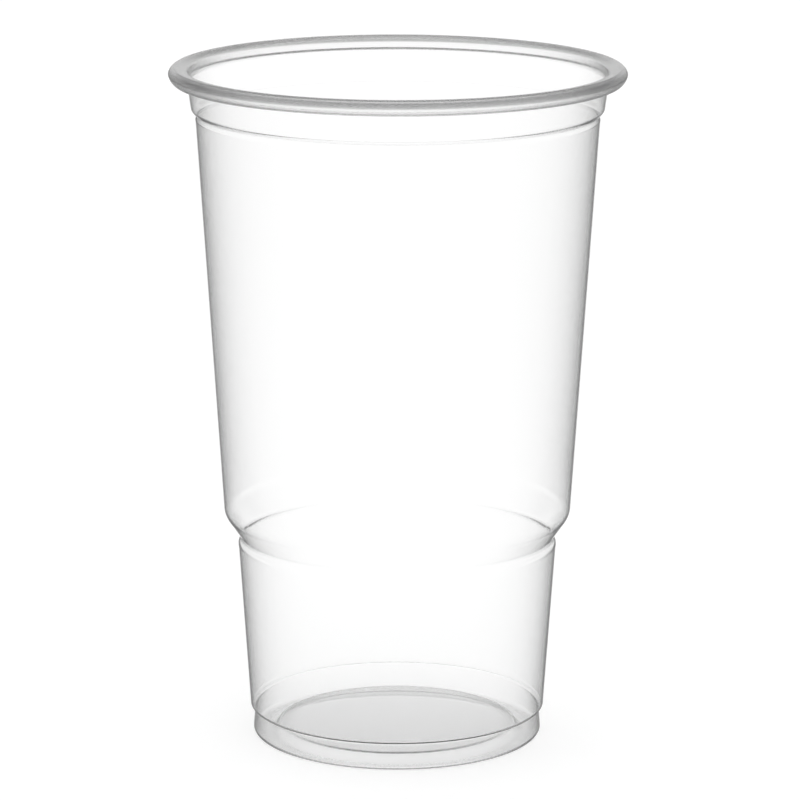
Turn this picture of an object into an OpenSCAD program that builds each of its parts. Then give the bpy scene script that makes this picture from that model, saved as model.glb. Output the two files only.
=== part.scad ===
// Clear disposable cup, formed from one thin sheet: rolled rim, neck, stacking shoulder,
// tapered wall, stepped waist, lower wall, stepped foot and raised base panel.
// Millimetres. +Z up. The origin is the centre of the foot, on the table.

/* [Sheet] */
// Thickness of the formed sheet
sheet_t = 0.4; // [0.3:0.05:0.5]
// Height from the table to the top of the rim
cup_h = 142.6; // [125:0.2:165]

/* [Rim] */
// Diameter over the rolled rim, which a lid clips over
rim_d = 95; // [92:0.5:100]
// Width of the roll, from its outer edge to the inside of the mouth
rim_w = 4.15; // [3.8:0.05:4.6]
// Distance of the roll's ridge from its outer edge
ridge_in = 1.35; // [1.1:0.05:1.6]
// Height of the ridge over the roll's widest line
rim_rise = 1.36; // [1:0.02:1.8]
// Depth of the roll's underside below its widest line
rim_drop = 1.87; // [1.5:0.02:2.3]
// Roundness of the roll's outer half: 2 is an oval, less gives it a crease
rim_round = 1.6; // [1.4:0.1:2]
// How far round the section the roll goes past its outer edge, in degrees
rim_curl = 128; // [100:1:140]

/* [Neck] */
// Height from the shoulder groove to the top of the rim
neck_h = 10.1; // [9:0.1:14]
// Height of the neck's straight part below the roll's widest line
lip_drop = 0.95; // [0.6:0.05:1.5]
// How much the neck closes in from the mouth down to the shoulder
neck_taper = 0.6; // [0.3:0.05:1]
// Width of the stacking shoulder, from the neck in to the groove
shoulder_w = 1.5; // [1:0.05:1.8]
// Height of the stacking shoulder
shoulder_h = 2.4; // [1.8:0.05:3]
// Rounding of the shoulder into the neck
shoulder_r = 2.4; // [1:0.1:3]

/* [Wall] */
// Depth of the groove between the shoulder and the wall
notch_w = 0.32; // [0.2:0.02:0.45]
// Height of that groove's lower side
notch_h = 0.7; // [0.5:0.05:1]
// Diameter at the lower end of the upper wall
wall_low_d = 73; // [68:0.5:77]

/* [Waist] */
// Height of the waist groove over the table
waist_h = 42.7; // [30:0.1:60]
// Height of the slope above the waist groove
slope_h = 5.4; // [4:0.1:7]
// Width of that slope
slope_w = 4.25; // [3:0.05:5]
// Rounding of the slope into the wall
slope_r = 4; // [1.5:0.1:5]
// Depth of the waist groove's undercut
waist_cut = 1.35; // [0.6:0.05:1.4]
// Height of the undercut's lower side
waist_cut_h = 0.8; // [0.6:0.05:1.2]
// Tight rounding used in both grooves
groove_r = 0.4; // [0.3:0.05:0.5]

/* [Foot] */
// Diameter at the lower end of the lower wall
lower_end_d = 62.3; // [61.8:0.1:64]
// Height of the lower wall's end over the table
foot_h = 5.95; // [5:0.05:8]
// How far the ledge at the lower wall's end falls on its way in to the foot
ledge_drop = 0.2; // [0.1:0.05:0.4]
// Diameter of the foot under the ledge
foot_top_d = 60.4; // [59.4:0.1:60.8]
// Rounding of the ledge's two corners
ledge_r = 0.3; // [0.25:0.05:0.4]
// Diameter over the foot
foot_d = 61.2; // [60.5:0.1:62]
// Rounding of the foot's outer edge
foot_r = 1; // [0.5:0.1:1.2]
// Diameter where the foot's inner side meets the table
stand_in_d = 52.4; // [51:0.1:55]

/* [Base] */
// Diameter of the raised base panel
panel_d = 49.6; // [46:0.1:50.4]
// Height of the panel's underside over the table
panel_h = 1.8; // [1.5:0.05:2.6]
// Rounding of the panel's edge and of the foot's inner edge
panel_r = 0.5; // [0.4:0.1:0.7]

/* [Hidden] */

// A corner is rounded in steps of this many degrees, and the whole cup in this many facets
arc_step = 12;
round_facets = 144;
half_t = sheet_t / 2;
// The share of the shorter side that a corner's rounding may use
corner_share = 0.48;

rim_out_r = rim_d / 2 - half_t;
mouth_r = rim_d / 2 - rim_w + half_t;
ridge_r = rim_d / 2 - ridge_in;
crease_z = cup_h - rim_rise;
neck_r = mouth_r - neck_taper;
notch_r = neck_r - shoulder_w;
notch_z = cup_h - neck_h;
wall_low_r = wall_low_d / 2 - half_t;
waist_r = wall_low_r - slope_w;
lower_end_r = lower_end_d / 2 - half_t;
foot_top_r = foot_top_d / 2 - half_t;
foot_out_r = foot_d / 2 - half_t;

// The middle line of the sheet, from the axis to the neck: radius, height, rounding
middle_line = [
    [0, panel_h + half_t, 0],
    [panel_d / 2, panel_h + half_t, panel_r],
    [stand_in_d / 2, half_t, panel_r],
    [foot_out_r, half_t, foot_r],
    [foot_top_r, foot_h - ledge_drop, ledge_r],
    [lower_end_r, foot_h, ledge_r],
    [waist_r + waist_cut, waist_h - waist_cut_h, groove_r],
    [waist_r, waist_h, groove_r],
    [wall_low_r, waist_h + slope_h, slope_r],
    [notch_r + notch_w, notch_z - notch_h, groove_r],
    [notch_r, notch_z, groove_r],
    [neck_r, notch_z + shoulder_h, shoulder_r],
    [mouth_r, crease_z - lip_drop, shoulder_r],
    [mouth_r, crease_z, 0],
];

function unit(v) = v / norm(v);
function left_of(v) = [-v.y, v.x];
function turned(v, angle) = [v.x * cos(angle) - v.y * sin(angle), v.x * sin(angle) + v.y * cos(angle)];
function flat(v) = [v.x, v.y];

// The arc that rounds corner b of the line a, b, c
function corner_arc(a, b, c, radius) =
    let (
        back = unit(a - b),
        ahead = unit(c - b),
        half = acos(back * ahead) / 2,
        room = corner_share * min(norm(a - b), norm(c - b)),
        r = min(radius, room * tan(half)),
        centre = b + unit(back + ahead) * r / sin(half),
        first = b + back * r / tan(half) - centre,
        turn = 180 - 2 * half,
        way = sign(cross(b - a, c - b)),
        steps = max(2, ceil(turn / arc_step))
    )
    [for (i = [0:steps]) centre + turned(first, way * turn * i / steps)];

function rounded_line(line) = [
    flat(line[0]),
    for (i = [1:len(line) - 2])
        each corner_arc(flat(line[i - 1]), flat(line[i]), flat(line[i + 1]), line[i][2]),
    flat(line[len(line) - 1]),
];

// One point of the roll's section. The angle is 180 at the mouth, 90 on the ridge and 0 outside
function roll_point(angle) =
    let (
        out = cos(angle) > 0,
        power = out ? 2 / rim_round : 1,
        width = out ? rim_out_r - ridge_r : ridge_r - mouth_r,
        height = sin(angle) > 0 ? rim_rise - half_t : rim_drop - half_t
    )
    [
        ridge_r + sign(cos(angle)) * width * pow(abs(cos(angle)), power),
        crease_z + sign(sin(angle)) * height * pow(abs(sin(angle)), power),
    ];

roll_line = [for (angle = [180 - arc_step:-arc_step:-rim_curl]) roll_point(angle)];

// A band of the sheet's thickness along its middle line
module sheet_along(line) {
    last = len(line) - 1;
    offsets = [
        for (i = [0:last])
            let (
                before = unit(line[max(i, 1)] - line[max(i, 1) - 1]),
                after = unit(line[min(i, last - 1) + 1] - line[min(i, last - 1)]),
                out = unit(left_of(before) + left_of(after))
            )
            out * half_t / (out * left_of(before))
    ];
    polygon([
        for (i = [0:last]) line[i] - offsets[i],
        for (i = [last:-1:0]) line[i] + offsets[i],
    ]);
}

module cup() {
    color([0.9, 0.93, 0.94, 0.45])
        rotate_extrude($fn = round_facets)
            sheet_along(concat(rounded_line(middle_line), roll_line));
}

cup();
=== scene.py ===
# %% [markdown]
# # A clear plastic cup
# The real cup is one thin sheet of clear plastic, formed over a mould: a rolled rim that a lid clips
# over, a short neck, a shoulder that stops stacked cups from jamming, a tapered wall with a stepped
# waist, and a base panel that is raised inside the foot. This script turns the section of that sheet
# about the cup's axis, gives it a clear plastic and lights it so that its edges show on white.
#
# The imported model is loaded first. It says how wide and how tall the cup is, and the mesh made here
# stands in its place, a hair smaller, so that rounding never takes it out of the model's box.

import math

import bmesh
import bpy
from mathutils import Matrix, Vector


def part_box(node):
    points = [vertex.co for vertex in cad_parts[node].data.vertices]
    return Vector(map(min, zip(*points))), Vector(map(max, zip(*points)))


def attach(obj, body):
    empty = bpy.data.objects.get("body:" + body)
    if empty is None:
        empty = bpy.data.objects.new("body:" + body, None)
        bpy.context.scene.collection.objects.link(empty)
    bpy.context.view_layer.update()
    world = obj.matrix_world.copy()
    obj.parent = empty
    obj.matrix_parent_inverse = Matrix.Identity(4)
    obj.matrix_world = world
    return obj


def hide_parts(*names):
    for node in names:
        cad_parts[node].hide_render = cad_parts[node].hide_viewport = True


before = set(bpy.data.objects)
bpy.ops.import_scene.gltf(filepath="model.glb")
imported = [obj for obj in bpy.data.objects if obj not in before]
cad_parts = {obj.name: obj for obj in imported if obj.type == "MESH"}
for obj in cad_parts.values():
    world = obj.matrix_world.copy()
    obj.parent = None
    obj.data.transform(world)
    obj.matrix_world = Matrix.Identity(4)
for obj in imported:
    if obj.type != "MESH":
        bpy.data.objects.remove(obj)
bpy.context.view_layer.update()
cup_low, cup_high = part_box("cup")
MM = 0.001
HAIR = 0.002 * MM
rim_radius = min(cup_high.x, cup_high.y) - HAIR
cup_height = cup_high.z - HAIR
print(f"the cup is {2 * rim_radius / MM:.1f} mm wide and {cup_height / MM:.1f} mm tall")

# %% [markdown]
# ## The camera
# A long lens stands about 0.9 m in front of the cup and looks down on it by 13 degrees, so the round
# lines of the rim and the base show as flat ovals. The place and the lens were fitted to those ovals.
# The lean is the very small tilt of the picture.

# %% The camera
LENS_MM = 200.6
SENSOR_MM = 36
CAMERA_DISTANCE = 913.3 * MM
CAMERA_HEIGHT = 278.3 * MM
CAMERA_ASIDE = 0.54 * MM
LOOK_DOWN = math.radians(12.74)
PICTURE_LEAN = math.radians(0.1)


def make_camera():
    camera = bpy.data.objects.new("camera", bpy.data.cameras.new("camera"))
    bpy.context.scene.collection.objects.link(camera)
    camera.data.lens = LENS_MM
    camera.data.sensor_width = SENSOR_MM
    place = Matrix.Translation((CAMERA_ASIDE, -CAMERA_DISTANCE, CAMERA_HEIGHT))
    look = Matrix.Rotation(math.radians(90) - LOOK_DOWN, 4, "X")
    lean = Matrix.Rotation(PICTURE_LEAN, 4, "Z")
    camera.matrix_world = place @ look @ lean
    bpy.context.scene.camera = camera
    return camera


camera = make_camera()
print(f"camera at {tuple(round(c, 4) for c in camera.matrix_world.translation)}")

# %% [markdown]
# ## The section of the sheet
# A formed sheet is best described by its middle line, half-way between its two faces. The line runs
# from the axis, along the base panel, round the foot and up the wall to the neck. Drawing it with a
# spline would make it wavy, so it is given as straight runs between corners: each corner is a radius,
# a height and a rounding, in millimetres, as on the mould's drawing.
#
# The base comes first. The panel is raised, so that the cup stands on a ring. Above the foot a small
# ledge steps out to the lower wall.

# %% Corners of the base and the foot, in millimetres
HALF_SHEET = 0.2
PANEL_R = 24.8
PANEL_ROUND = 1.0
STAND_IN_R = 26.2
FOOT_ROUND = 1.0
LEDGE_Z = 6.1
LEDGE_DROP = 0.33
LEDGE_ROUND = 0.65

panel_z = 1.8 + HALF_SHEET
foot_r = 30.6 - HALF_SHEET
ledge_in_r = 30.2 - HALF_SHEET
ledge_out_r = 31.15 - HALF_SHEET

base_corners = [
    (0, panel_z, 0),
    (PANEL_R, panel_z, PANEL_ROUND),
    (STAND_IN_R, HALF_SHEET, PANEL_ROUND),
    (foot_r, HALF_SHEET, FOOT_ROUND),
    (ledge_in_r, LEDGE_Z - LEDGE_DROP, LEDGE_ROUND),
    (ledge_out_r, LEDGE_Z, LEDGE_ROUND),
]
print(f"foot {2 * (foot_r + HALF_SHEET):.1f} mm wide, ledge {LEDGE_Z:.1f} mm over the table")

# %% [markdown]
# The waist lets a hand hold the cup and stiffens the wall. The upper wall ends in a slope that runs in
# to a groove, and under the groove the lower wall starts with a soft rounded lip. The lip turns back
# steeply: a flatter one would show as a dark line through the clear wall in front of it.

# %% Corners of the waist
SLOPE_HEIGHT = 5.4
SLOPE_ROUND = 4
WAIST_Z = 42.7
LIP_OUT = 0.8
LIP_DOWN = 1.2
WAIST_ROUND = 1.2

wall_low_r = 36.5 - HALF_SHEET
waist_r = wall_low_r - 3.7

waist_corners = [
    (waist_r + LIP_OUT, WAIST_Z - LIP_DOWN, WAIST_ROUND),
    (waist_r, WAIST_Z, WAIST_ROUND),
    (wall_low_r, WAIST_Z + SLOPE_HEIGHT, SLOPE_ROUND),
]
print(f"waist {2 * waist_r:.1f} mm wide, {WAIST_Z:.1f} mm over the table")

# %% [markdown]
# The shoulder is an inward ridge under the neck, on which the next cup of a stack rests. A fine groove
# parts it from the wall. The neck opens a little up to the mouth, where the roll of the rim begins, so
# its corners are worked out from the rim's width and the cup's height.

# %% Corners of the shoulder and the neck
RIM_WIDTH = 4.15
RIM_RISE = 1.36
RIM_SHEET = 0.45
NECK_TAPER = 0.6
SHOULDER_WIDTH = 1.5
NECK_HEIGHT = 10.1

rim_half = RIM_SHEET / 2
rim_r = rim_radius / MM
top_z = cup_height / MM
crease_z = top_z - RIM_RISE
mouth_inner_r = rim_r - RIM_WIDTH
mouth_r = mouth_inner_r + rim_half
neck_r = mouth_inner_r + HALF_SHEET - NECK_TAPER
groove_r = neck_r - SHOULDER_WIDTH
groove_z = top_z - NECK_HEIGHT

WALL_TOP_OUT = 0.32
WALL_TOP_DOWN = 0.7
WALL_TOP_ROUND = 0.4
GROOVE_OUT = 0.05
GROOVE_UP = 0.4
GROOVE_ROUND = 0.6
SHOULDER_IN = 0.25
SHOULDER_HEIGHT = 1.0
SHOULDER_ROUND = 1.2
NECK_TOP_DOWN = 0.95
NECK_TOP_ROUND = 2.4

neck_corners = [
    (groove_r + WALL_TOP_OUT, groove_z - WALL_TOP_DOWN, WALL_TOP_ROUND),
    (groove_r + GROOVE_OUT, groove_z + GROOVE_UP, GROOVE_ROUND),
    (neck_r - SHOULDER_IN, groove_z + GROOVE_UP + SHOULDER_HEIGHT, SHOULDER_ROUND),
    (mouth_r, crease_z - NECK_TOP_DOWN, NECK_TOP_ROUND),
    (mouth_r, crease_z, 0),
]
middle_corners = base_corners + waist_corners + neck_corners
print(f"{len(middle_corners)} corners, mouth {2 * mouth_inner_r:.1f} mm wide")

# %% [markdown]
# A corner is rounded by the circle that touches both of its sides. A bevel on the finished mesh could
# do it too, but it would treat all corners alike, where each of these has its own radius.

# %% Rounding the corners
ARC_STEP = math.radians(7)
CORNER_SHARE = 0.48


def corner_arc(a, b, c, rounding):
    back = (a - b).normalized()
    ahead = (c - b).normalized()
    half = math.acos(max(-1, min(1, back.dot(ahead)))) / 2
    room = CORNER_SHARE * min((a - b).length, (c - b).length)
    radius = min(rounding, room * math.tan(half))
    centre = b + (back + ahead).normalized() * radius / math.sin(half)
    first = b + back * radius / math.tan(half) - centre
    turn = math.pi - 2 * half
    way = 1 if (b - a).cross(c - b) > 0 else -1
    steps = max(2, math.ceil(turn / ARC_STEP))
    points = []
    for i in range(steps + 1):
        angle = way * turn * i / steps
        points.append(centre + Matrix.Rotation(angle, 2) @ first)
    return points


def rounded_line(corners):
    flat = [Vector(c[:2]) for c in corners]
    line = [flat[0]]
    for i in range(1, len(flat) - 1):
        line += corner_arc(flat[i - 1], flat[i], flat[i + 1], corners[i][2])
    line.append(flat[-1])
    return line


rounded = rounded_line(middle_corners)
print(f"{len(rounded)} points from the axis to the mouth")

# %% [markdown]
# A formed panel is never quite flat. This one rises by 0.2 mm to its middle, and that slight dome is
# what shades the panel from light at the back to grey at the front.

# %% The domed base panel
PANEL_DOME = 0.2
DOME_STEPS = 6
DOME_EDGE = 1


def panel_dome():
    points = []
    for i in range(DOME_STEPS):
        r = (PANEL_R - DOME_EDGE) * i / DOME_STEPS
        points.append(Vector((r, panel_z + PANEL_DOME * (1 - (r / PANEL_R) ** 2))))
    return points


wall_line = panel_dome() + rounded[1:]
print(f"the panel's middle is {wall_line[0].y - panel_z:.1f} mm over its edge")

# %% [markdown]
# The rim is rolled outwards and down until its free edge almost meets the neck. It is a hollow roll of
# the sheet, so its outside and its hollow are two lines. Both are ovals on the side of the mouth, and
# a little pinched on the outer side, which gives the soft crease along the widest line.

# %% The rolled rim
RIDGE_IN = 1.35
RIM_DROP = 1.87
RIM_CURL = 128
ROLL_STEP = 7
OVAL = 2
OUTSIDE_PINCH = 1.6
HOLLOW_PINCH = 1.8

ridge_r = rim_r - RIDGE_IN


def roll_point(angle, sheet, pinch):
    outer = math.cos(angle) > 0
    width = (rim_r - ridge_r if outer else ridge_r - mouth_inner_r) - sheet
    height = (RIM_RISE if math.sin(angle) > 0 else RIM_DROP) - sheet
    power = 2 / (pinch if outer else OVAL)
    x = math.copysign(width * abs(math.cos(angle)) ** power, math.cos(angle))
    z = math.copysign(height * abs(math.sin(angle)) ** power, math.sin(angle))
    return Vector((ridge_r + x, crease_z + z))


roll_angles = [math.radians(a) for a in range(180, -RIM_CURL, -ROLL_STEP)]
roll_outside = [roll_point(a, 0, OUTSIDE_PINCH) for a in roll_angles[1:]]
roll_hollow = [roll_point(a, RIM_SHEET, HOLLOW_PINCH) for a in roll_angles[1:]]
print(f"{len(roll_outside)} points on the roll's outside, as many in its hollow")

# %% [markdown]
# Flat stretches get one more point close to each end. The shading of a smooth mesh blends over a whole
# face, and a short face beside each corner keeps that blend off the long walls.

# %% Short faces beside the corners
GUARD = 0.12


def guarded(line):
    points = [line[0]]
    for a, b in zip(line, line[1:]):
        along = b - a
        if along.length > 4 * GUARD:
            step = along.normalized() * GUARD
            points += [a + step, b - step]
        points.append(b)
    return points


middle_line = guarded(wall_line)
print(f"{len(middle_line)} points along the middle line")

# %% [markdown]
# The sheet's two faces lie half its thickness to each side of the middle line. The sheet grows from
# 0.4 to 0.45 mm just under the roll. One closed line goes out along the lower face, through the roll's
# hollow to the free edge, and back over the roll's outside and the upper face.

# %% The two faces of the sheet
THICKENS_OVER = 1.6


def left_of(v):
    return Vector((-v.y, v.x))


def half_thickness(height):
    share = max(0, min(1, (height - crease_z + THICKENS_OVER) / THICKENS_OVER))
    return HALF_SHEET + (rim_half - HALF_SHEET) * share


def offset_line(line, side):
    moved = []
    for i, p in enumerate(line):
        distance = side * half_thickness(p.y)
        before = (line[max(i, 1)] - line[max(i, 1) - 1]).normalized()
        last = min(i, len(line) - 2)
        after = (line[last + 1] - line[last]).normalized()
        out = (left_of(before) + left_of(after)).normalized()
        moved.append(p + out * distance / out.dot(left_of(before)))
    return moved


outer_face = offset_line(middle_line, -1)
inner_face = offset_line(middle_line, 1)
section = outer_face + roll_hollow + roll_outside[::-1] + inner_face[::-1]
print(f"{len(section)} points round the section")

# %% [markdown]
# ## Turning the section about the axis
# The cup is round, so its whole shape follows one rule: point number so-and-so of the section, turned
# by so many degrees. A Screw modifier or a spin could turn it, but Geometry Nodes state that rule
# directly, with the facets as a number that can be changed. First come two helpers that add a node and
# link or set its sockets, for this tree and for the materials.

# %% Helpers for node trees
def add_node(tree, kind, links=None, **settings):
    node = tree.nodes.new(kind)
    for name, value in settings.items():
        setattr(node, name, value)
    for socket, source in (links or {}).items():
        if isinstance(source, bpy.types.NodeSocket):
            tree.links.new(source, node.inputs[socket])
        else:
            node.inputs[socket].default_value = source
    return node


def math_node(tree, operation, a, b=0.0):
    return add_node(tree, "ShaderNodeMath", {0: a, 1: b}, operation=operation).outputs[0]


def socket_of_type(sockets, kind):
    return next(s for s in sockets if s.type == kind)


# %% [markdown]
# The tree starts from a grid that has one row for each point of the section and one column for each
# facet. From its own index each grid point knows its row, where it looks up its radius and height, and
# its column, which gives the angle that it is turned by.

# %% Where each grid point goes
HALF_STEP = 0.5


def turned_place(tree, outline, facets, columns):
    index = tree.nodes.new("GeometryNodeInputIndex").outputs[0]
    middle = math_node(tree, "ADD", index, HALF_STEP)
    row = math_node(tree, "FLOOR", math_node(tree, "DIVIDE", middle, columns))
    column = math_node(tree, "SUBTRACT", index, math_node(tree, "MULTIPLY", row, columns))
    looked_up = add_node(
        tree,
        "GeometryNodeSampleIndex",
        {"Geometry": outline, "Index": row},
        data_type="FLOAT_VECTOR",
    )
    place = tree.nodes.new("GeometryNodeInputPosition").outputs[0]
    tree.links.new(place, socket_of_type(looked_up.inputs, "VECTOR"))
    found = socket_of_type(looked_up.outputs, "VECTOR")
    parts = add_node(tree, "ShaderNodeSeparateXYZ", {0: found})
    share = math_node(tree, "DIVIDE", column, facets)
    angle = math_node(tree, "MULTIPLY", share, math.tau)
    x = math_node(tree, "MULTIPLY", parts.outputs["X"], math_node(tree, "COSINE", angle))
    y = math_node(tree, "MULTIPLY", parts.outputs["X"], math_node(tree, "SINE", angle))
    turned = add_node(tree, "ShaderNodeCombineXYZ", {"X": x, "Y": y, "Z": parts.outputs["Z"]})
    return turned.outputs[0]


# %% [markdown]
# The rest of the tree moves the grid there and joins it up. At the seam the first and last columns
# meet, and at the axis a whole row meets in one point, so the doubled points are merged.

# %% The tree that turns a section
def turned_section_tree(material):
    tree = bpy.data.node_groups.new("turned_section", "GeometryNodeTree")
    face = tree.interface
    face.new_socket("Section", in_out="INPUT", socket_type="NodeSocketGeometry")
    face.new_socket("Facets", in_out="INPUT", socket_type="NodeSocketInt")
    face.new_socket("Merge distance", in_out="INPUT", socket_type="NodeSocketFloat")
    face.new_socket("Cup", in_out="OUTPUT", socket_type="NodeSocketGeometry")
    given = tree.nodes.new("NodeGroupInput").outputs
    outline = given["Section"]
    size = add_node(tree, "GeometryNodeAttributeDomainSize", {"Geometry": outline})
    columns = math_node(tree, "ADD", given["Facets"], 1.0)
    counts = {"Vertices X": size.outputs["Point Count"], "Vertices Y": columns}
    grid = add_node(tree, "GeometryNodeMeshGrid", counts)
    place = turned_place(tree, outline, given["Facets"], columns)
    moved = add_node(
        tree,
        "GeometryNodeSetPosition",
        {"Geometry": grid.outputs["Mesh"], "Position": place},
    )
    merged = add_node(
        tree,
        "GeometryNodeMergeByDistance",
        {"Geometry": moved.outputs[0], "Distance": given["Merge distance"]},
    )
    smooth = add_node(tree, "GeometryNodeSetShadeSmooth", {"Geometry": merged.outputs[0]})
    real = add_node(tree, "GeometryNodeRealizeInstances", {"Geometry": smooth.outputs[0]})
    painted = add_node(
        tree,
        "GeometryNodeSetMaterial",
        {"Geometry": real.outputs[0], "Material": material},
    )
    add_node(tree, "NodeGroupOutput", {"Cup": painted.outputs[0]})
    return tree


# %% [markdown]
# ## Clear plastic
# The plastic lets nearly all light through and has almost no colour, apart from a trace of cool grey
# in its depth. What draws it is its mirror gloss, which grows towards the edges, where it is seen at a
# low angle. The real sheet changes with the place: it is hazier where it was pressed or folded most,
# in the rim and the foot. A texture would need the cup unwrapped, so the finish follows the height and
# the distance from the axis instead, which a few nodes work out from the object's own coordinates.

# %% Height, distance from the axis and soft steps
def height_and_radius(tree, coords):
    parts = add_node(tree, "ShaderNodeSeparateXYZ", {0: coords}).outputs
    across = math_node(tree, "MULTIPLY", parts["X"], parts["X"])
    along = math_node(tree, "MULTIPLY", parts["Y"], parts["Y"])
    return parts["Z"], math_node(tree, "SQRT", math_node(tree, "ADD", across, along))


def soft_step(tree, value, start, full):
    share = add_node(
        tree,
        "ShaderNodeMapRange",
        {"Value": value, "From Min": start, "From Max": full},
        interpolation_type="SMOOTHSTEP",
    )
    return share.outputs[0]


# %% [markdown]
# Along its outer crease the roll looks grey, because light is caught between the folded layers
# there. Rendering all those bounces would be slow and noisy, so that shade is painted on the outer
# face
# as a grey: a ramp over its height, darkest a little above the crease and clear at both ends.

# %% The painted shade band of the roll's outer face
SHADE_BAND_START = 46.3 * MM
SHADE_BAND_FULL = 46.7 * MM
SHADE_BAND_LOW = 140.6 * MM
SHADE_BAND_HIGH = 142.6 * MM
# Painted shade: the greys by height that darken the roll's outer face.
PAINTED_SHADE_GREYS = [
    (140.75, 1.0),
    (141.0, 0.66),
    (141.2, 0.5),
    (141.5, 0.43),
    (141.9, 0.38),
    (142.1, 0.58),
    (142.3, 0.92),
    (142.45, 1.0),
]


def grey_ramp(tree, share, stops, blend):
    ramp = add_node(tree, "ShaderNodeValToRGB", {"Fac": share})
    ramp.color_ramp.interpolation = blend
    elements = ramp.color_ramp.elements
    while len(elements) < len(stops):
        elements.new(0.5)
    for element, (place, grey) in zip(elements, stops):
        element.position = place
        element.color = (grey, grey, grey, 1)
    return ramp.outputs["Color"]


def painted_crease_shade(tree, height, radius):
    up = add_node(
        tree,
        "ShaderNodeMapRange",
        {"Value": height, "From Min": SHADE_BAND_LOW, "From Max": SHADE_BAND_HIGH},
    )
    stops = [((z * MM - SHADE_BAND_LOW) / (SHADE_BAND_HIGH - SHADE_BAND_LOW), grey) for z, grey in PAINTED_SHADE_GREYS]
    greys = grey_ramp(tree, up.outputs[0], stops, "LINEAR")
    return soft_step(tree, radius, SHADE_BAND_START, SHADE_BAND_FULL), greys


print(f"grey band from {PAINTED_SHADE_GREYS[0][0]} to {PAINTED_SHADE_GREYS[-1][0]} mm, outside {SHADE_BAND_FULL / MM:.1f} mm")

# %% [markdown]
# The band of painted shade is mixed into the plain tint of the wall by a Mix node. Blender's Mix node
# has a socket for each kind of value, so the colour sockets are picked by their type.

# %% The tint
WALL_TINT = 0.995


def blended_colour(tree, share, first, second):
    mix = add_node(tree, "ShaderNodeMix", {"Factor": share}, data_type="RGBA")
    for socket, colour in zip([i for i in mix.inputs if i.type == "RGBA"], (first, second)):
        if isinstance(colour, bpy.types.NodeSocket):
            tree.links.new(colour, socket)
        else:
            socket.default_value = (colour, colour, colour, 1)
    return socket_of_type(mix.outputs, "RGBA")


print(f"the wall keeps {WALL_TINT:.1%} of the light at each face")


# %% [markdown]
# Formed sheet is never optically perfect. The wall has a very faint haze that varies over the surface,
# the roll is clearly hazy and the ring of the foot a little, out from the edge of the panel.

# %% The haze
HAZE_SCALE = 90.0
HAZE_LEAST = 0.012
HAZE_MOST = 0.05
RIM_START = 138.8 * MM
RIM_FULL = 139.6 * MM
RIM_HAZE = 0.22
FOOT_START = 7.5 * MM
FOOT_FULL = 6.3 * MM
FOOT_INNER = 20.0 * MM
FOOT_OUTER = 24.5 * MM
FOOT_HAZE = 0.1


def haze_roughness(tree, coords, height, radius):
    noise = add_node(
        tree,
        "ShaderNodeTexNoise",
        {"Vector": coords, "Scale": HAZE_SCALE, "Detail": 3.0},
    )
    wall = add_node(
        tree,
        "ShaderNodeMapRange",
        {"Value": noise.outputs["Fac"], "To Min": HAZE_LEAST, "To Max": HAZE_MOST},
    )
    rim = math_node(tree, "MULTIPLY", soft_step(tree, height, RIM_START, RIM_FULL), RIM_HAZE)
    low = soft_step(tree, height, FOOT_START, FOOT_FULL)
    ring = math_node(tree, "MULTIPLY", low, soft_step(tree, radius, FOOT_INNER, FOOT_OUTER))
    foot = math_node(tree, "MULTIPLY", ring, FOOT_HAZE)
    return math_node(tree, "ADD", wall.outputs[0], math_node(tree, "ADD", rim, foot))


print(f"roughness {HAZE_LEAST} to {HAZE_MOST}, rim +{RIM_HAZE}, foot +{FOOT_HAZE}")

# %% [markdown]
# The sheet was stretched down into its mould, which leaves shallow flow waves that run up the wall.
# They are far too shallow to be worth a mesh, so they are a bump from a noise that is stretched along
# the height.

# %% The flow waves
WAVE_SCALE = 130.0
WAVE_STRETCH = 0.12
WAVE_STRENGTH = 0.03
WAVE_DEPTH = 0.02 * MM


def flow_waves(tree, coords):
    scale = (1.0, 1.0, WAVE_STRETCH)
    stretched = add_node(tree, "ShaderNodeMapping", {"Vector": coords, "Scale": scale})
    waves = add_node(
        tree,
        "ShaderNodeTexNoise",
        {"Vector": stretched.outputs[0], "Scale": WAVE_SCALE, "Detail": 2.0},
    )
    settings = {
        "Strength": WAVE_STRENGTH,
        "Distance": WAVE_DEPTH,
        "Height": waves.outputs["Fac"],
    }
    return add_node(tree, "ShaderNodeBump", settings).outputs[0]


print(f"flow waves {WAVE_DEPTH / MM:.2f} mm deep at most, used at {WAVE_STRENGTH:.0%}")


# %% [markdown]
# A Principled shader with full transmission is the plastic. Its gloss is made weaker by the specular
# tint, because the real sheet is duller than glass, and an absorbing volume gives the trace of grey.
# Lamps would see clear plastic as solid and cast a black shadow, so for shadow rays alone it is
# swapped for a plain see-through film.

# %% The plastic
PLASTIC_IOR = 1.49
GLOSS = 0.12
DEPTH_COLOUR = (0.66, 0.69, 0.685, 1)
DEPTH_DENSITY = 40.0
FILM = 0.985


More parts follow.
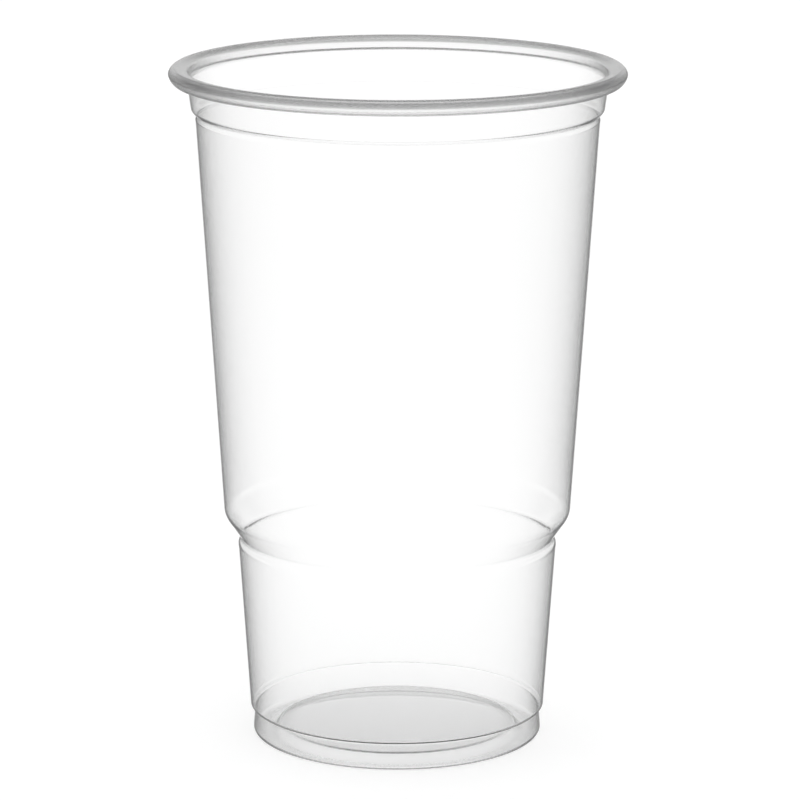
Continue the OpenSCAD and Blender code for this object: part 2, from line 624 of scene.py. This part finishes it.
def clear_plastic():
    material = bpy.data.materials.new("clear_plastic")
    material.use_nodes = True
    tree = material.node_tree
    tree.nodes.clear()
    coords = tree.nodes.new("ShaderNodeTexCoord").outputs["Object"]
    height, radius = height_and_radius(tree, coords)
    # Painted shade: the roll's outer face is darkened by a grey band in the base colour.
    outer, painted_band_shade = painted_crease_shade(tree, height, radius)
    plastic = add_node(
        tree,
        "ShaderNodeBsdfPrincipled",
        {
            "Base Color": blended_colour(tree, outer, WALL_TINT, painted_band_shade),
            "Roughness": haze_roughness(tree, coords, height, radius),
            "IOR": PLASTIC_IOR,
            "Transmission Weight": 1.0,
            "Specular Tint": (GLOSS, GLOSS, GLOSS, 1),
            "Normal": flow_waves(tree, coords),
        },
    )
    film = add_node(tree, "ShaderNodeBsdfTransparent", {"Color": (FILM, FILM, FILM, 1)})
    path = tree.nodes.new("ShaderNodeLightPath").outputs
    seen = add_node(
        tree,
        "ShaderNodeMixShader",
        {0: path["Is Shadow Ray"], 1: plastic.outputs[0], 2: film.outputs[0]},
    )
    depth = add_node(
        tree,
        "ShaderNodeVolumeAbsorption",
        {"Color": DEPTH_COLOUR, "Density": DEPTH_DENSITY},
    )
    ends = {"Surface": seen.outputs[0], "Volume": depth.outputs[0]}
    add_node(tree, "ShaderNodeOutputMaterial", ends)
    return material


plastic_finish = clear_plastic()
print(f"clear plastic: {len(plastic_finish.node_tree.nodes)} nodes, IOR {PLASTIC_IOR}")

# %% [markdown]
# ## The cup's mesh
# Now the section becomes an object of points and edges, the tree turns it, and the result is copied
# into a plain mesh. A modifier's input is set by its socket's identifier, since names can repeat. The
# section's points are clamped at the axis and the table, so that rounding never takes one past them.

# %% Turning the section into the cup
FACETS = 216
MERGE = 0.002 * MM


def section_object(points):
    mesh = bpy.data.meshes.new("section")
    vertices = [(max(p.x, 0) * MM, 0, max(p.y, 0) * MM) for p in points]
    edges = [(i, i + 1) for i in range(len(points) - 1)]
    mesh.from_pydata(vertices, edges, [])
    line = bpy.data.objects.new("section", mesh)
    bpy.context.scene.collection.objects.link(line)
    return line


def set_input(modifier, name, value):
    items = modifier.node_group.interface.items_tree
    socket = next(i for i in items if i.name == name and i.in_out == "INPUT")
    modifier[socket.identifier] = value


def turn_into_mesh(line, tree, name):
    modifier = line.modifiers.new("turn", "NODES")
    modifier.node_group = tree
    set_input(modifier, "Facets", FACETS)
    set_input(modifier, "Merge distance", MERGE)
    graph = bpy.context.evaluated_depsgraph_get()
    mesh = bpy.data.meshes.new_from_object(line.evaluated_get(graph))
    mesh.name = name
    line.modifiers.remove(modifier)
    bpy.data.objects.remove(line)
    piece = bpy.data.objects.new(name, mesh)
    bpy.context.scene.collection.objects.link(piece)
    return piece


turning = turned_section_tree(plastic_finish)
cup = turn_into_mesh(section_object(section), turning, "clear_cup")
print(f"{len(turning.nodes)} nodes turned the section into {len(cup.data.vertices)} points")

# %% [markdown]
# Glass shaders need to know which side is inside, so the faces are turned outwards, and the open edges
# and the volume of plastic are counted and printed. Then the cup is put on the body it rides on, and
# the imported solid is hidden.

# %% Checking the mesh and putting it in the model
CM3 = 1e6


def point_faces_outwards(piece):
    shape = bmesh.new()
    shape.from_mesh(piece.data)
    bmesh.ops.recalc_face_normals(shape, faces=shape.faces)
    open_edges = sum(not e.is_manifold for e in shape.edges)
    volume = shape.calc_volume(signed=True)
    shape.to_mesh(piece.data)
    shape.free()
    return open_edges, volume


open_edges, volume = point_faces_outwards(cup)
triangles = sum(len(p.vertices) - 2 for p in cup.data.polygons)
print(f"cup: {triangles} triangles, {open_edges} open edges, {volume * CM3:.2f} cm3 of plastic")

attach(cup, "root")
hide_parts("cup")

# %% [markdown]
# ## The table and the light
# Clear plastic on white is a studio problem: in an all-white room nothing would draw its edges. The
# studio's answer is a white ground that is seen through the cup, and grey cards all round that only
# its gloss picks up. Light Path nodes do the same: a ray that looks straight at the ground or through
# the plastic finds it white, and a ray that was mirrored on the way finds the grey cards.

# %% Which rays see what
MIRRORED_ONCE = 0.5


def looking_rays(tree):
    path = tree.nodes.new("ShaderNodeLightPath").outputs
    seen = math_node(tree, "MAXIMUM", path["Is Camera Ray"], path["Is Transmission Ray"])
    return math_node(tree, "MAXIMUM", seen, path["Is Glossy Ray"])


def mirrored_rays(tree):
    path = tree.nodes.new("ShaderNodeLightPath").outputs
    return math_node(tree, "GREATER_THAN", path["Glossy Depth"], MIRRORED_ONCE)


def direct_or_mirrored(tree, direct, mirrored):
    shown = add_node(
        tree,
        "ShaderNodeMixShader",
        {0: mirrored_rays(tree), 1: direct.outputs[0], 2: mirrored.outputs[0]},
    )
    return shown.outputs[0]


# %% [markdown]
# The table is a pale matt surface under soft light, with a little glow added for the rays that look at
# it. That lifts it to white and leaves the cup's faint shadow. Mirrored rays pass through it, to the
# grey cards. A large disc is enough, because its edge lies far outside the picture.

# %% The white table
TABLE_RADIUS = 3.0
TABLE_SIDES = 96
TABLE_GREY = 0.8
TABLE_GLOW = 0.38


def white_table_finish():
    material = bpy.data.materials.new("white_table")
    material.use_nodes = True
    tree = material.node_tree
    tree.nodes.clear()
    grey = (TABLE_GREY, TABLE_GREY, TABLE_GREY, 1)
    matt = add_node(tree, "ShaderNodeBsdfDiffuse", {"Color": grey})
    strength = math_node(tree, "MULTIPLY", looking_rays(tree), TABLE_GLOW)
    glow = add_node(tree, "ShaderNodeEmission", {"Strength": strength})
    both = add_node(tree, "ShaderNodeAddShader", {0: matt.outputs[0], 1: glow.outputs[0]})
    unseen = tree.nodes.new("ShaderNodeBsdfTransparent")
    shown = direct_or_mirrored(tree, both, unseen)
    add_node(tree, "ShaderNodeOutputMaterial", {"Surface": shown})
    return material


def round_table():
    turns = [math.tau * i / TABLE_SIDES for i in range(TABLE_SIDES)]
    edge = [(TABLE_RADIUS * math.cos(t), TABLE_RADIUS * math.sin(t), 0) for t in turns]
    faces = [(TABLE_SIDES, i, (i + 1) % TABLE_SIDES) for i in range(TABLE_SIDES)]
    mesh = bpy.data.meshes.new("table")
    mesh.from_pydata(edge + [(0, 0, 0)], [], faces)
    mesh.materials.append(white_table_finish())
    table = bpy.data.objects.new("table", mesh)
    bpy.context.scene.collection.objects.link(table)
    return table


table = round_table()
print(f"round table, {2 * TABLE_RADIUS:.0f} m wide")

# %% [markdown]
# The grey cards are a ramp over the height of the direction that a mirrored ray leaves in, from
# straight down at -1 to straight up at 1. Which part of the cup picks up which height was found by
# trying: the walls mirror what is a little below the horizon, the roll what is above it, and the foot
# what is just over the horizon.

# %% The grey cards
CARD_GREYS = [
    (-1.0, 1.0),
    (-0.85, 0.8),
    (-0.7, 0.45),
    (-0.5, 0.2),
    (-0.35, 0.22),
    (-0.22, 0.33),
    (-0.14, 0.25),
    (-0.08, 0.18),
    (0.0, 0.9),
    (0.1, 1.0),
    (0.24, 1.0),
    (0.32, 0.2),
    (0.55, 0.15),
    (0.8, 1.0),
]


def graded_cards(tree, direction):
    up = add_node(tree, "ShaderNodeSeparateXYZ", {0: direction}).outputs["Z"]
    share = add_node(tree, "ShaderNodeMapRange", {"Value": up, "From Min": -1.0, "From Max": 1.0})
    stops = [((height + 1) / 2, grey) for height, grey in CARD_GREYS]
    return grey_ramp(tree, share.outputs[0], stops, "B_SPLINE")


print(f"{len(CARD_GREYS)} greys from straight down to straight up")

# %% [markdown]
# Straight behind the cup the ground is so close to the line of sight that the gloss shows it too: one
# white patch there, with a soft edge, keeps the middle of the walls clear.

# %% The bright patch behind the cup
BEHIND = (0.0, 0.975, -0.22)
PATCH_EDGE = 0.968
PATCH_FULL = 0.99
PATCH_WHITE = 1.0


def card_colours(tree):
    direction = tree.nodes.new("ShaderNodeTexCoord").outputs["Generated"]
    along = add_node(
        tree,
        "ShaderNodeVectorMath",
        {0: direction, 1: BEHIND},
        operation="DOT_PRODUCT",
    )
    patch = soft_step(tree, along.outputs["Value"], PATCH_EDGE, PATCH_FULL)
    return blended_colour(tree, patch, graded_cards(tree, direction), PATCH_WHITE)


print(f"the patch reaches {math.degrees(math.acos(PATCH_EDGE)):.0f} degrees to each side")


# %% [markdown]
# The room is an even soft light for the cup and the table, and plain white for the rays that look at
# it.

# %% The white room
ROOM_LIGHT = 0.8
WHITE = 1.0


def white_room():
    world = bpy.data.worlds.new("white_room")
    bpy.context.scene.world = world
    world.use_nodes = True
    tree = world.node_tree
    tree.nodes.clear()
    lift = math_node(tree, "MULTIPLY", looking_rays(tree), WHITE - ROOM_LIGHT)
    strength = math_node(tree, "ADD", lift, ROOM_LIGHT)
    direct = add_node(tree, "ShaderNodeBackground", {"Color": (1, 1, 1, 1), "Strength": strength})
    mirrored = add_node(tree, "ShaderNodeBackground", {"Color": card_colours(tree)})
    shown = direct_or_mirrored(tree, direct, mirrored)
    add_node(tree, "ShaderNodeOutputWorld", {"Surface": shown})
    return world


room = white_room()
print(f"room light {ROOM_LIGHT}, {len(room.node_tree.nodes)} nodes")

# %% [markdown]
# One large soft lamp over the cup's left shoulder adds a direction to the table's shadow. It is kept
# out of the gloss, where its square would show.

# %% The lamp
LAMP_POWER = 2.0
LAMP_SIZE = 1.0
LAMP_PLACE = (-0.7, -0.5, 1.1)


def soft_lamp():
    lamp = bpy.data.objects.new("soft_lamp", bpy.data.lights.new("soft_lamp", "AREA"))
    bpy.context.scene.collection.objects.link(lamp)
    lamp.data.energy = LAMP_POWER
    lamp.data.size = LAMP_SIZE
    lamp.location = LAMP_PLACE
    aim = Vector((0, 0, cup_height / 2)) - lamp.location
    lamp.rotation_euler = aim.to_track_quat("-Z", "Y").to_euler()
    lamp.visible_glossy = False
    return lamp


lamp = soft_lamp()
bpy.context.scene.view_settings.view_transform = "Standard"
print(f"lamp {lamp.location.length:.2f} m from the cup's foot, {LAMP_POWER:.0f} W")
